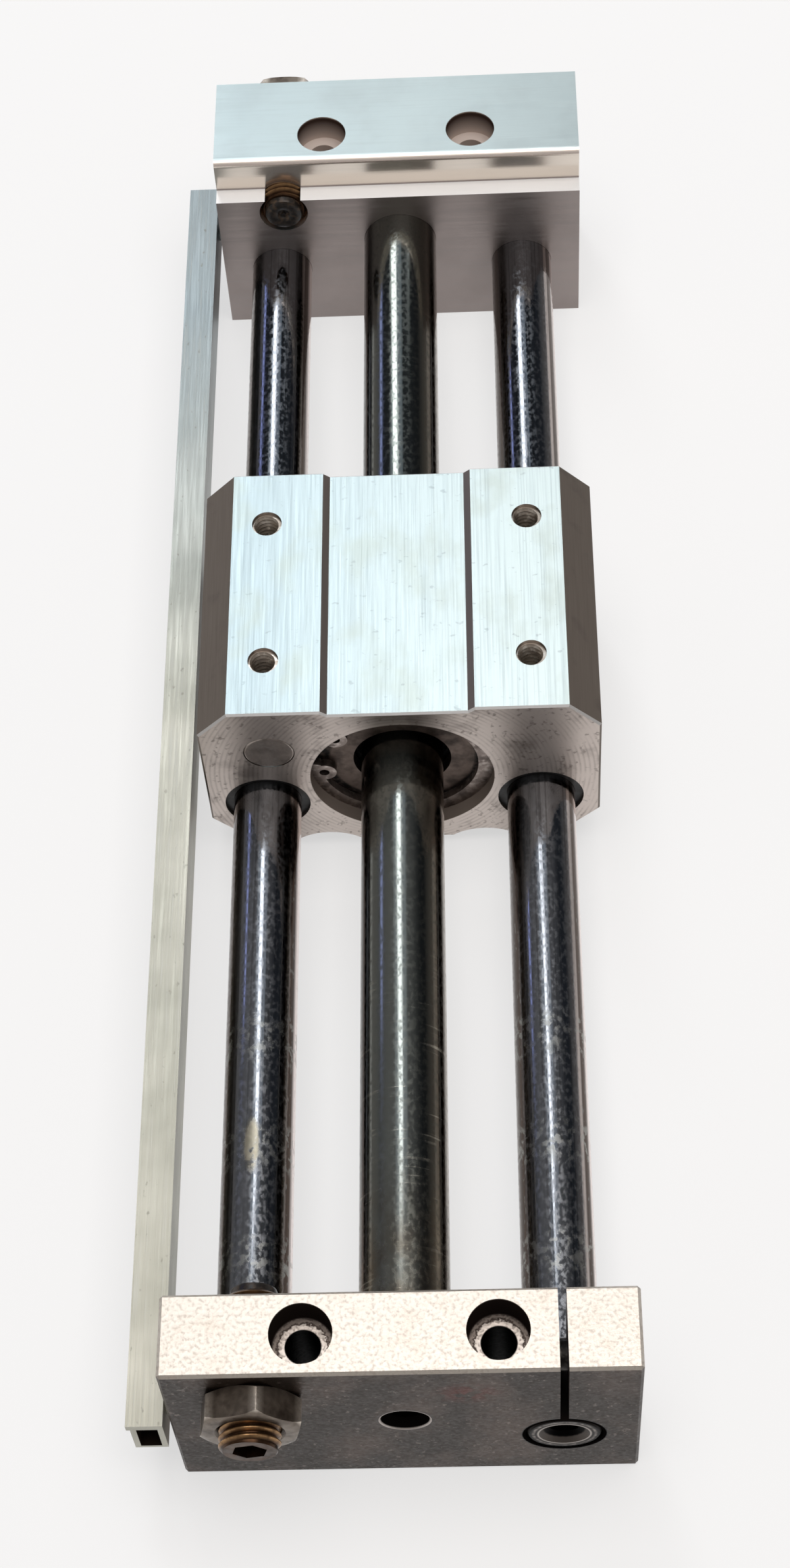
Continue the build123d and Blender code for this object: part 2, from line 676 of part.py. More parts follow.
# At each end of the stack: a wear ring and a scraper in their holder, a washer and a retaining ring
for end, sign in (("near", -1), ("far", 1)):
    stack_end_y = block_middle_y + sign * stack_half
    holder_end_y = block_middle_y + sign * holder_half
    washer_end_y = block_middle_y + sign * washer_half
    ring_y = washer_end_y if sign > 0 else washer_end_y - ring_thickness

    with BuildPart() as wear_ring_holder:
        with BuildSketch(cross_plane(stack_end_y)):
            with Locations((0, tube_height)):
                Circle(slider_radius - slider_play)
                Circle(tube_wear_radius + seat_fit, mode=Mode.SUBTRACT)
        extrude(amount=-sign * holder_length)
        with BuildSketch(cross_plane(holder_end_y)):
            with Locations((0, tube_height)):
                Circle(tube_scraper_diameter / 2 + seat_fit)
        extrude(amount=sign * tube_scraper_length, mode=Mode.SUBTRACT)
    wear_ring_holder.part.label = f"{end}_wear_ring_holder"
    export_step(wear_ring_holder.part, f"parts/{end}_wear_ring_holder.step")

    with BuildPart() as tube_wear_ring:
        with BuildSketch(cross_plane(stack_end_y)):
            with Locations((0, tube_height)):
                Circle(tube_wear_radius)
                Circle(tube_radius + running_fit, mode=Mode.SUBTRACT)
        extrude(amount=-sign * (holder_length - tube_scraper_length))
    tube_wear_ring.part.label = f"{end}_tube_wear_ring"
    export_step(tube_wear_ring.part, f"parts/{end}_tube_wear_ring.step")

    # The scraper's lip stands out of its body, towards the open end
    with BuildPart() as tube_scraper:
        lip_root = tube_height + tube_radius + running_fit
        body_end_y = holder_end_y - sign * tube_scraper_lip
        with BuildSketch(Plane.YZ):
            with BuildLine():
                Polyline(
                    (holder_end_y - sign * tube_scraper_length, lip_root),
                    (holder_end_y, lip_root),
                    (body_end_y, lip_root + tube_scraper_lip),
                    (body_end_y, tube_height + tube_scraper_diameter / 2),
                    (holder_end_y - sign * tube_scraper_length, tube_height + tube_scraper_diameter / 2),
                    close=True,
                )
            make_face()
        revolve(axis=Axis((0, 0, tube_height), (0, 1, 0)))
    tube_scraper.part.label = f"{end}_tube_scraper"
    export_step(tube_scraper.part, f"parts/{end}_tube_scraper.step")

    with BuildPart() as end_washer:
        with BuildSketch(cross_plane(holder_end_y)):
            with Locations((0, tube_height)):
                Circle(slider_radius - slider_play)
                Circle(washer_bore / 2, mode=Mode.SUBTRACT)
        extrude(amount=-sign * washer_thickness)
    end_washer.part.label = f"{end}_washer"
    export_step(end_washer.part, f"parts/{end}_washer.step")

    # Widest opposite its gap, with a plier hole in each lug
    with BuildPart() as retaining_ring:
        outer = ring_groove_radius - seat_fit
        inner = outer - (ring_width_back + ring_width_ends) / 2
        lug_reach = outer - ring_groove_depth - ring_lug_diameter / 2
        lug_x = (lug_reach**2 - ring_lug_offset**2) ** 0.5
        with BuildSketch(cross_plane(ring_y)):
            with Locations(Location((0, tube_height, 0), (0, 0, ring_gap_angle))):
                Circle(outer)
                with Locations(((ring_width_back - ring_width_ends) / 2, 0)):
                    Circle(inner, mode=Mode.SUBTRACT)
                with Locations((lug_x, ring_lug_offset), (lug_x, -ring_lug_offset)):
                    Circle(ring_lug_diameter / 2)
                with Locations((outer, 0)):
                    Rectangle(outer, ring_gap, mode=Mode.SUBTRACT)
                with Locations((lug_x, ring_lug_offset), (lug_x, -ring_lug_offset)):
                    Circle(ring_lug_hole / 2, mode=Mode.SUBTRACT)
        extrude(amount=-ring_thickness)
    retaining_ring.part.label = f"{end}_retaining_ring"
    export_step(retaining_ring.part, f"parts/{end}_retaining_ring.step")

# Piston core: a shaft through ring magnets and yokes, level with those outside the tube
with BuildPart() as piston_shaft:
    piston_half = stack_half + piston_length
    shaft_half = piston_half + piston_nut_thickness + piston_shaft_end
    with BuildSketch(cross_plane(block_middle_y - shaft_half)):
        with Locations((0, tube_height)):
            Circle(piston_shaft_diameter / 2)
    extrude(amount=-2 * shaft_half)
    chamfer(piston_shaft.edges().filter_by(GeomType.CIRCLE), edge_break)
piston_shaft.part.label = "piston_shaft"
export_step(piston_shaft.part, "parts/piston_shaft.step")

with BuildPart() as inner_magnets:
    for i in range(magnet_count):
        magnet_y = (
            block_middle_y - stack_half + yoke_thickness + i * (magnet_thickness + yoke_thickness)
        )
        with BuildSketch(cross_plane(magnet_y)):
            with Locations((0, tube_height)):
                Circle(tube_inner_radius - piston_magnet_play)
                Circle(piston_shaft_diameter / 2 + seat_fit, mode=Mode.SUBTRACT)
        extrude(amount=-magnet_thickness)
inner_magnets.part.label = "inner_magnets"
export_step(inner_magnets.part, "parts/inner_magnets.step")

with BuildPart() as inner_yokes:
    for i in range(magnet_count + 1):
        yoke_y = block_middle_y - stack_half + i * (magnet_thickness + yoke_thickness)
        with BuildSketch(cross_plane(yoke_y)):
            with Locations((0, tube_height)):
                Circle(tube_inner_radius - piston_magnet_play)
                Circle(piston_shaft_diameter / 2 + seat_fit, mode=Mode.SUBTRACT)
        extrude(amount=-yoke_thickness)
inner_yokes.part.label = "inner_yokes"
export_step(inner_yokes.part, "parts/inner_yokes.step")

# A piston at each end of the core, with its wear ring, lip seal, nut and bumper
for end, sign in (("near", -1), ("far", 1)):
    root_y = block_middle_y + sign * stack_half
    crown_y = root_y + sign * piston_length
    groove_y = root_y + sign * piston_ring_start
    seal_y = root_y + sign * piston_seal_start
    seal_floor = piston_radius - piston_seal_depth
    ring_floor = piston_radius - piston_ring_depth

    with BuildPart() as piston:
        with BuildSketch(Plane.YZ):
            with BuildLine():
                Polyline(
                    (root_y, tube_height + piston_shaft_diameter / 2 + seat_fit),
                    (root_y, tube_height + piston_radius),
                    (groove_y, tube_height + piston_radius),
                    (groove_y, tube_height + ring_floor),
                    (groove_y + sign * piston_ring_length, tube_height + ring_floor),
                    (groove_y + sign * piston_ring_length, tube_height + piston_radius),
                    (seal_y, tube_height + piston_radius),
                    (seal_y, tube_height + seal_floor),
                    (seal_y + sign * piston_seal_length, tube_height + seal_floor),
                    (seal_y + sign * piston_seal_length, tube_height + piston_radius),
                    (crown_y, tube_height + piston_radius),
                    (crown_y, tube_height + piston_shaft_diameter / 2 + seat_fit),
                    close=True,
                )
            make_face()
        revolve(axis=Axis((0, 0, tube_height), (0, 1, 0)))
    piston.part.label = f"{end}_piston"
    export_step(piston.part, f"parts/{end}_piston.step")

    with BuildPart() as piston_wear_ring:
        with BuildSketch(cross_plane(groove_y)):
            with Locations((0, tube_height)):
                Circle(tube_inner_radius - running_fit)
                Circle(ring_floor + seat_fit, mode=Mode.SUBTRACT)
        extrude(amount=-sign * piston_ring_length)
    piston_wear_ring.part.label = f"{end}_piston_wear_ring"
    export_step(piston_wear_ring.part, f"parts/{end}_piston_wear_ring.step")

    with BuildPart() as piston_seal:
        with BuildSketch(cross_plane(seal_y)):
            with Locations((0, tube_height)):
                Circle(tube_inner_radius - running_fit)
                Circle(seal_floor + seat_fit, mode=Mode.SUBTRACT)
        extrude(amount=-sign * piston_seal_length)
    piston_seal.part.label = f"{end}_piston_seal"
    export_step(piston_seal.part, f"parts/{end}_piston_seal.step")

    with BuildPart() as piston_nut:
        with BuildSketch(cross_plane(crown_y)):
            with Locations((0, tube_height)):
                RegularPolygon(piston_nut_width / 2, 6, major_radius=False)
                Circle(piston_shaft_diameter / 2 + seat_fit, mode=Mode.SUBTRACT)
        extrude(amount=-sign * piston_nut_thickness)
    piston_nut.part.label = f"{end}_piston_nut"
    export_step(piston_nut.part, f"parts/{end}_piston_nut.step")

    # The bumper is a ring round the nut that meets the floor of the tube's seat
    with BuildPart() as piston_bumper:
        nut_corner = piston_nut_width / 3**0.5
        with BuildSketch(cross_plane(crown_y)):
            with Locations((0, tube_height)):
                Circle(nut_corner + seat_fit + piston_bumper_wall)
                Circle(nut_corner + seat_fit, mode=Mode.SUBTRACT)
        extrude(amount=-sign * piston_bumper_length)
    piston_bumper.part.label = f"{end}_piston_bumper"
    export_step(piston_bumper.part, f"parts/{end}_piston_bumper.step")

# Switch rail: an extruded channel beside the plates, for the position switches
with BuildPart() as switch_rail:
    with BuildSketch(cross_plane(near_outer_y)):
        with BuildLine():
            Polyline(
                (rail_right_x, rail_bottom),
                (rail_right_x, rail_top),
                (rail_left_x, rail_top),
                (rail_left_x, rail_top - rail_flange_thickness),
                (rail_box_left_x, rail_top - rail_flange_thickness),
                (rail_box_left_x, rail_bottom),
                close=True,
            )
        make_face()
        with Locations((
            (rail_box_left_x + rail_right_x) / 2,
            rail_bottom + rail_floor + rail_cavity_height / 2,
        )):
            Rectangle(rail_box_width - 2 * rail_side_wall, rail_cavity_height, mode=Mode.SUBTRACT)
    extrude(amount=-rail_length)
    for y in (near_screw_y, far_screw_y):
        with Locations(facing_left(rail_box_left_x, y, rail_screw_height)):
            Hole(rail_access_diameter / 2, rail_side_wall)
            Hole(rail_screw_thread / 2 + thread_fit, rail_box_width)
switch_rail.part.label = "switch_rail"
export_step(switch_rail.part, "parts/switch_rail.step")

# Spacers that hold the rail clear of the plates
with BuildPart() as rail_spacers:
    with BuildSketch(Plane.YZ.offset(-plate_width / 2)):
        with Locations((near_screw_y, rail_screw_height), (far_screw_y, rail_screw_height)):
            Circle(rail_head_diameter / 2)
            Circle(rail_screw_thread / 2 + thread_fit, mode=Mode.SUBTRACT)
    extrude(amount=-rail_spacer_length)
rail_spacers.part.label = "rail_spacers"
export_step(rail_spacers.part, "parts/rail_spacers.step")

# Low head screws inside the rail, reached through a hole in its outer wall
with BuildPart() as rail_screws:
    head_seat_x = rail_right_x - rail_side_wall
    for y in (near_screw_y, far_screw_y):
        with BuildSketch(Plane.YZ.offset(head_seat_x)):
            with Locations((y, rail_screw_height)):
                Circle(rail_head_diameter / 2)
        extrude(amount=-rail_head_height)
        with BuildSketch(Plane.YZ.offset(head_seat_x)):
            with Locations((y, rail_screw_height)):
                Circle(rail_screw_thread / 2 - thread_fit)
        extrude(amount=rail_screw_tip_x - head_seat_x)
        with BuildSketch(Plane.YZ.offset(head_seat_x - rail_head_height)):
            with Locations((y, rail_screw_height)):
                RegularPolygon(rail_screw_thread / 3, 6, major_radius=False)
        extrude(amount=rail_head_height / 2, mode=Mode.SUBTRACT)
rail_screws.part.label = "rail_screws"
export_step(rail_screws.part, "parts/rail_screws.step")

# Magnet in the block's left side that trips the switches in the rail
with BuildPart() as switch_magnet:
    with BuildSketch(Plane.YZ.offset(-block_width / 2)):
        with Locations((block_middle_y, switch_magnet_height)):
            Circle(switch_magnet_diameter / 2)
    extrude(amount=switch_magnet_length)
switch_magnet.part.label = "switch_magnet"
export_step(switch_magnet.part, "parts/switch_magnet.step")
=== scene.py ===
import math

import bmesh
import bpy
from mathutils import Matrix, Vector


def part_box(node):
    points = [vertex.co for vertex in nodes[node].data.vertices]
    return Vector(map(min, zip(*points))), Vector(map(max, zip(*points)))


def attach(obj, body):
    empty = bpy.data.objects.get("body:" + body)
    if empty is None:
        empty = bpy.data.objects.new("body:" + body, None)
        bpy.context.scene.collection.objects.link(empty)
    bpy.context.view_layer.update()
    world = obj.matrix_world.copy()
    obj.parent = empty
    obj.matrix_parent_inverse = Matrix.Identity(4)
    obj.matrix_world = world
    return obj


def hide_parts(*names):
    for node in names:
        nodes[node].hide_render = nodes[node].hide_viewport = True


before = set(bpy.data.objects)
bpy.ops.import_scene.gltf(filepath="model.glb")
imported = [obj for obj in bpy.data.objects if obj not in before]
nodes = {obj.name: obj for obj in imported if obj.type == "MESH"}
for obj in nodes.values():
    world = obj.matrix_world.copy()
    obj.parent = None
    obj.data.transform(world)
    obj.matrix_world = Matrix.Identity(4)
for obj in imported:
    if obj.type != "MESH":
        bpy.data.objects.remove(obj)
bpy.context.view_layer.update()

MM = 0.001


def middle(name):
    """The middle of a CAD node, in millimetres."""
    low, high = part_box(name)
    return [(a + b) / 2 / MM for a, b in zip(low, high)]


# Places of the CAD nodes, in millimetres
tube_axis = middle("cylinder_tube")
right_shaft_axis = middle("guide_shaft_right")
left_shaft_axis = middle("guide_shaft_left")
stop_bolt_axis = middle("near_stop_bolt")
plate_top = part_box("near_plate")[1].z / MM
near_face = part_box("near_plate")[0].y / MM
rail_low, rail_high = [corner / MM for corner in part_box("switch_rail")]
# Screw seats of both plates, the clamp slit, the far plate's ledge and the block's channel, as in the CAD
seat_place = (12.25, 104.75, 0)
slit_left = 19.6
slit_right = 20.9
ledge_top = 28.0
channel_edge = 11.0
# A rust stain on the near plate, and the spacing and place of the water marks on the shafts
stain_place = (8.2, near_face, 27.0)
marks_apart = 16.5
marks_middle = -87


# Shader helpers

def linear(code):
    """An sRGB hex colour as the linear colour that a socket takes."""
    channels = [int(code[i:i + 2], 16) / 255 for i in (1, 3, 5)]
    return [c / 12.92 if c <= 0.04045 else ((c + 0.055) / 1.055) ** 2.4 for c in channels] + [1.0]


def feed(tree, socket, value):
    """Fills an input socket from a number, a hex colour, another socket or a node's first output in use."""
    if isinstance(value, bpy.types.Node):
        value = next(output for output in value.outputs if output.enabled)
    if isinstance(value, bpy.types.NodeSocket):
        tree.links.new(value, socket)
    elif isinstance(value, str):
        socket.default_value = linear(value)
    else:
        socket.default_value = value


def add(tree, kind, settings=None, inputs=None):
    """One shader node with its settings and links."""
    node = tree.nodes.new("ShaderNode" + kind)
    for name, value in (settings or {}).items():
        setattr(node, name, value)
    for name, value in (inputs or {}).items():
        feed(tree, node.inputs[name], value)
    return node


def mask(tree, most, *limits):
    """A share up to most, where each value has gone from its first limit to its second."""
    share = most
    for value, start, end in limits:
        share = add(tree, "MapRange", None, {"Value": value, 1: start, 2: end, 3: 0.0, 4: share})
    return share


def paint(tree, colour, *coats):
    """A colour under coats, each laid over what is below by its own share."""
    for share, coat in coats:
        colour = add(tree, "Mix", {"data_type": "RGBA"}, {0: share, 6: colour, 7: coat})
    return colour


def finish(name, metallic, roughness, specular=0.5):
    """A new material: its tree, its shader, its place in millimetres and the way the face looks."""
    made = bpy.data.materials.new(name)
    made.use_nodes = True
    tree = made.node_tree
    shader = tree.nodes["Principled BSDF"]
    feed(tree, shader.inputs["Metallic"], metallic)
    feed(tree, shader.inputs["Roughness"], roughness)
    feed(tree, shader.inputs["Specular IOR Level"], specular)
    coordinates = add(tree, "TexCoord")
    place = add(tree, "Mapping", None, {"Vector": coordinates.outputs["Object"], "Scale": [1 / MM] * 3})
    at = add(tree, "SeparateXYZ", None, {0: place}).outputs
    facing = add(tree, "SeparateXYZ", None, {0: coordinates.outputs["Normal"]}).outputs
    return made, tree, shader, place, at, facing


def grains(tree, place, size, detail, x=1.0, y=1.0, z=1.0):
    """Noise with grains of that size, drawn out along an axis by its factor."""
    scale = [1 / (size * factor) for factor in (x, y, z)]
    scaled = add(tree, "Mapping", None, {"Vector": place, "Scale": scale})
    return add(tree, "TexNoise", None, {"Vector": scaled, "Scale": 1.0, "Detail": detail}).outputs[0]


def distance(tree, place, centre, weights):
    """How far the surface is from a centre, with each axis counted by its weight."""
    offset = add(tree, "VectorMath", {"operation": "SUBTRACT"}, {0: place, 1: centre})
    weighed = add(tree, "VectorMath", {"operation": "MULTIPLY"}, {0: offset, 1: weights})
    return add(tree, "VectorMath", {"operation": "LENGTH"}, {0: weighed})


def screw_seat(tree, place, at):
    """The distance from the nearest screw's axis, and where the surface lies inside its seat."""
    mirrored = add(tree, "VectorMath", {"operation": "ABSOLUTE"}, {0: place})
    seat = distance(tree, mirrored, seat_place, (1, 1, 0))
    return seat, mask(tree, 1.0, (seat, 4.10, 4.06), (at[2], plate_top - 0.1, plate_top - 0.3))


def dress(tree, shader, colour, rough, height, depth, strength, dull=None):
    """Colour, roughness and relief of that depth, into the shader; where dull is 1 nothing mirrors."""
    relief = add(tree, "Bump", None, {"Height": height, "Distance": depth * MM, "Strength": strength})
    feed(tree, shader.inputs["Base Color"], colour)
    feed(tree, shader.inputs["Roughness"], rough)
    feed(tree, shader.inputs["Normal"], relief)
    if dull:
        for gloss in (shader.inputs["Metallic"], shader.inputs["Specular IOR Level"]):
            feed(tree, gloss, add(tree, "MapRange", None, {"Value": dull, 3: gloss.default_value, 4: 0.0}))


# Materials

# Aluminium plate, glass-bead blasted and clear anodised: a fine matt sparkle on top, smeared dull sides
near_plate_finish, tree, shader, place, at, facing = finish("bead blasted anodised aluminium", 0.85, 0.42)
up = mask(tree, 1.0, (facing[2], 0.45, 0.75))
grit = grains(tree, place, 0.5, 3.0)
smears = grains(tree, place, 8, 5.0, z=1.6)
blotches = grains(tree, place, 2.5, 4.0)
specks = grains(tree, place, 0.7, 4.0)
stain = distance(tree, place, stain_place, (1, 1, 1.3))
# Its front is painted darker than its other sides, as painted shade
sides = paint(
    tree, "#857b76",
    (mask(tree, 1.0, (facing[1], -0.3, -0.7)), "#2b221b"),
    (mask(tree, 0.55, (smears, 0.46, 0.66)), "#5f5048"),
    (mask(tree, 0.50, (blotches, 0.52, 0.70)), "#342b29"),
    (mask(tree, 0.35, (specks, 0.62, 0.70)), "#9a8f88"),
    (mask(tree, 0.9, (stain, 4.8, 1.0), (blotches, 0.42, 0.52)), "#55241a"),
)
# The real grit is 0.1 mm; it is drawn at 0.5 mm so that it shows
top = paint(
    tree, "#ded7cd",
    (mask(tree, 0.38, (grit, 0.50, 0.68)), "#a99c92"),
    (mask(tree, 0.25, (blotches, 0.50, 0.70)), "#c8b7a6"),
)
# Screw seats: a wall painted dark as painted shade, a dull outer ring, a bright ragged inner ring and a
# hole painted black as painted shade
seat, seat_share = screw_seat(tree, place, at)
chatter = grains(tree, place, 0.45, 3.0)
ragged = add(tree, "Math", {"operation": "MULTIPLY_ADD"}, {0: chatter, 1: 1.2, 2: seat})
seats = paint(
    tree, "#d9cfc6",
    (mask(tree, 0.6, (grit, 0.50, 0.60)), "#7b7068"),
    (mask(tree, 1.0, (ragged, 3.55, 3.70)), "#4e443f"),
    (mask(tree, 1.0, (ragged, 3.85, 4.00)), "#8f847c"),
    (mask(tree, 0.7, (ragged, 4.25, 4.40)), "#4b423d"),
    (mask(tree, 1.0, (seat, 3.80, 3.92)), "#2c2522"),
    (mask(tree, 1.0, (seat, 2.40, 2.28)), "#0b0a0a"),
)
seat_wall = mask(tree, seat_share, (seat, 3.80, 3.92))
# Centre port: its mouth painted black as painted shade, in a thin painted highlight ring, with a darker
# halo
port = distance(tree, place, tube_axis, (1, 0, 1))
port_mouth_shade = mask(tree, 1.0, (port, 3.22, 3.10), (at[1], near_face + 9, near_face + 8))
# Inside the clamp slit it is painted black as painted shade; round the shaft's seat is a black joint
slit = mask(
    tree, 1.0, (at[0], slit_left - 0.05, slit_left + 0.05), (at[0], slit_right + 0.05, slit_right - 0.05),
    (facing[0], 0.5, 0.9),
)
seam = mask(tree, 1.0, (distance(tree, place, right_shaft_axis, (1, 0, 1)), 5.65, 5.40))
slit_shade_and_seam = add(tree, "Math", {"operation": "MAXIMUM"}, {0: slit, 1: seam})
colour = paint(
    tree, sides,
    (up, top),
    (seat_share, seats),
    (mask(tree, 0.8, (port, 4.0, 3.5), (facing[1], -0.8, -0.95)), "#3b3432"),
    (mask(tree, 1.0, (port, 3.42, 3.36)), "#b5ada8"),
    (port_mouth_shade, "#0c0a0a"),
    (slit_shade_and_seam, "#0c0a0a"),
)
dull = add(tree, "Math", {"operation": "MAXIMUM"}, {0: slit_shade_and_seam, 1: seat_wall})
dull = add(tree, "Math", {"operation": "MAXIMUM"}, {0: dull, 1: port_mouth_shade})
rough = add(tree, "MapRange", None, {"Value": grit, 1: 0.3, 2: 0.7, 3: 0.34, 4: 0.50})
dress(tree, shader, colour, rough, grit, 0.05, 0.6, dull)

# The same alloy, finely milled and clear anodised: cooler, smoother, and satin enough to mirror the shafts
far_plate_finish, tree, shader, place, at, facing = finish("fine milled anodised aluminium", 0.88, 0.34)
up = mask(tree, 1.0, (facing[2], 0.80, 0.95))
# Its chamfered edges are painted near white, a painted highlight
edge = mask(tree, 1.0, (facing[2], 0.15, 0.45), (facing[2], 0.97, 0.85))
upper = mask(tree, 1.0, (at[2], ledge_top + 0.2, ledge_top + 0.5), (facing[1], -0.8, -0.95))
# Its ledge is painted white and made dull, a painted highlight
ledge = mask(
    tree, 1.0, (facing[2], 0.6, 0.9), (at[2], ledge_top + 0.6, ledge_top + 0.3),
    (at[2], ledge_top - 1.0, ledge_top - 0.5),
)
clouds = grains(tree, place, 9, 4.0)
lines = grains(tree, place, 0.5, 3.0, x=24)
top = paint(
    tree, "#d0dcdb",
    # Painted shade darkens the top towards the left
    (mask(tree, 0.75, (at[0], 4, -26)), "#a9b6b8"),
    (mask(tree, 0.15, (clouds, 0.45, 0.70)), "#8f8f8e"),
)
# Its screw seats have painted shade on the upper wall and are light below
_, seat_share = screw_seat(tree, place, at)
seats = paint(tree, "#453630", (mask(tree, 1.0, (at[2], plate_top - 0.8, plate_top - 4.6)), "#d3c6be"))
colour = paint(
    tree, "#9a908d",
    (mask(tree, 0.35, (clouds, 0.40, 0.70)), "#7c7572"),
    (upper, "#e3d9ce"),
    (up, top),
    (mask(tree, 0.10, (lines, 0.50, 0.75)), "#9fa5a5"),
    (edge, "#fff3ea"),
    (ledge, "#ffffff"),
    (seat_share, seats),
)
dull = add(tree, "Math", {"operation": "MAXIMUM"}, {0: mask(tree, 0.85, (ledge, 0.0, 1.0)), 1: seat_share})
rough = add(tree, "MapRange", None, {"Value": lines, 1: 0.3, 2: 0.7, 3: 0.30, 4: 0.40})
rough = add(tree, "Mix", None, {0: upper, 2: rough, 3: 0.17})
dress(tree, shader, colour, rough, lines, 0.02, 0.4, dull)

# Aluminium block, clear anodised: brushed along the stroke on top, milled in rings at its ends, dull aside
block_finish, tree, shader, place, at, facing = finish("brushed anodised aluminium", 0.85, 0.34)
up = mask(tree, 1.0, (facing[2], 0.88, 0.97))
aside = add(tree, "Math", {"operation": "ABSOLUTE"}, {0: facing[1]})
end = mask(tree, 1.0, (aside, 0.75, 0.92))
sideways = add(tree, "Math", {"operation": "ABSOLUTE"}, {0: facing[0]})
from_middle = add(tree, "Math", {"operation": "ABSOLUTE"}, {0: at[0]})
# The channel's slopes are painted darker than the top, as painted shade
painted_slope_shade = mask(
    tree, 1.0, (sideways, 0.15, 0.30), (facing[2], 0.3, 0.4),
    (from_middle, channel_edge + 1.4, channel_edge + 1.2),
)
brushed = grains(tree, place, 0.30, 4.0, y=70)
scratches = grains(tree, place, 0.16, 2.0, y=60)
stray = grains(tree, place, 0.5, 3.0, x=3, y=2)
smudges = grains(tree, place, 4.5, 6.0)
wipes = grains(tree, place, 7, 4.0, y=1.6)
specks = grains(tree, place, 0.9, 4.0)
bore = distance(tree, place, tube_axis, (1, 0, 1))
# Real cutter marks are 0.2 mm apart; they are drawn 0.7 mm apart so that they show
rings = add(tree, "Math", {"operation": "MULTIPLY"}, {0: bore, 1: math.tau / 0.7})
rings = add(tree, "Math", {"operation": "SINE"}, {0: rings})
ends = paint(
    tree, "#d3c8c1",
    (mask(tree, 0.30, (rings, -0.2, 1.0), (smudges, 0.36, 0.56)), "#6f6560"),
    # Painted reflections of the shafts: darker bands on either side of the bore
    (mask(tree, 0.38, (from_middle, 13, 18), (from_middle, 26, 21)), "#5d534e"),
    # Painted shade above the bore
    (mask(tree, 0.60, (from_middle, 9, 3), (at[2], 30, 33)), "#4d433e"),
    (mask(tree, 0.50, (specks, 0.60, 0.68)), "#584d47"),
)
top = paint(
    tree, "#e9f6f4",
    # Painted shade darkens the top towards the left
    (mask(tree, 0.85, (at[0], 20, -20)), "#b4c5ca"),
    (mask(tree, 0.35, (brushed, 0.48, 0.72)), "#93a3a9"),
    (mask(tree, 0.30, (wipes, 0.50, 0.66)), "#b9c0ad"),
    (mask(tree, 0.30, (stray, 0.66, 0.72)), "#7f8d92"),
)
wall = mask(tree, 1.0, (bore, 13.75, 13.65), (aside, 0.5, 0.3))
# The broken edges between its top and its ends are painted white as a painted highlight, and the bore's
# wall is dull and painted darker as painted shade
colour = paint(
    tree, "#655b52",
    (end, ends),
    (mask(tree, 0.45, (smudges, 0.56, 0.74)), "#4d423d"),
    (up, top),
    (painted_slope_shade, "#8f8580"),
    (mask(tree, 1.0, (facing[2], 0.4, 0.6), (facing[2], 0.9, 0.8), (aside, 0.3, 0.5)), "#ffffff"),
    (wall, "#857a72"),
)
rough = add(tree, "MapRange", None, {"Value": scratches, 1: 0.3, 2: 0.7, 3: 0.34, 4: 0.46})
relief = paint(
    tree, "#000000",
    (mask(tree, 0.8, (brushed, 0.0, 1.0), (up, 0.0, 1.0)), "#ffffff"),
    (mask(tree, 0.4, (rings, -1.0, 1.0), (end, 0.0, 1.0), (smudges, 0.35, 0.65)), "#ffffff"),
)
dress(tree, shader, colour, rough, relief, 0.04, 0.35, wall)

# Extruded aluminium, clear anodised: grey-green, with handling scratches along its length
rail_finish, tree, shader, place, at, _ = finish("extruded anodised aluminium", 0.85, 0.40)
lines = grains(tree, place, 0.3, 4.0, y=45)
patches = grains(tree, place, 18, 3.0)
nicks = grains(tree, place, 0.8, 5.0, y=2)
# The cavity along the rail is painted dark as painted shade
painted_cavity_shade = mask(
    tree, 1.0,
    (at[2], rail_high.z - 1.25, rail_high.z - 1.28), (at[2], rail_low.z + 0.55, rail_low.z + 0.58),
    (at[0], rail_low.x + 1.25, rail_low.x + 1.28), (at[0], rail_high.x - 0.75, rail_high.x - 0.78),
)
colour = paint(
    tree, "#9f9e92",
    (mask(tree, 1.0, (patches, 0.35, 0.65)), "#bbb9ad"),
    (mask(tree, 0.8, (at[1], 0, 80)), "#88949a"),
    (mask(tree, 0.4, (lines, 0.55, 0.75)), "#d6d8d2"),
    (mask(tree, 0.6, (nicks, 0.66, 0.72)), "#7c7b70"),
    (painted_cavity_shade, "#231c18"),
)
rough = add(tree, "MapRange", None, {"Value": lines, 1: 0.3, 2: 0.7, 3: 0.32, 4: 0.48})
dress(tree, shader, colour, rough, lines, 0.03, 0.5, painted_cavity_shade)

# Steel shaft, ground and hard chromed: a dark mirror with streaks; its near half has dust and dried water
shaft_finish, tree, shader, place, at, facing = finish("hard chrome on ground steel", 1.0, 0.06)
side = add(tree, "Math", {"operation": "ABSOLUTE"}, {0: facing[0]})
spots = grains(tree, place, 1.1, 5.0, y=1.2)
mottle = grains(tree, place, 0.55, 3.0, y=1.6)
flecks = grains(tree, place, 0.5, 2.0, y=3)
streaks = grains(tree, place, 0.35, 3.0, y=200)
pits = grains(tree, place, 0.6, 4.0)
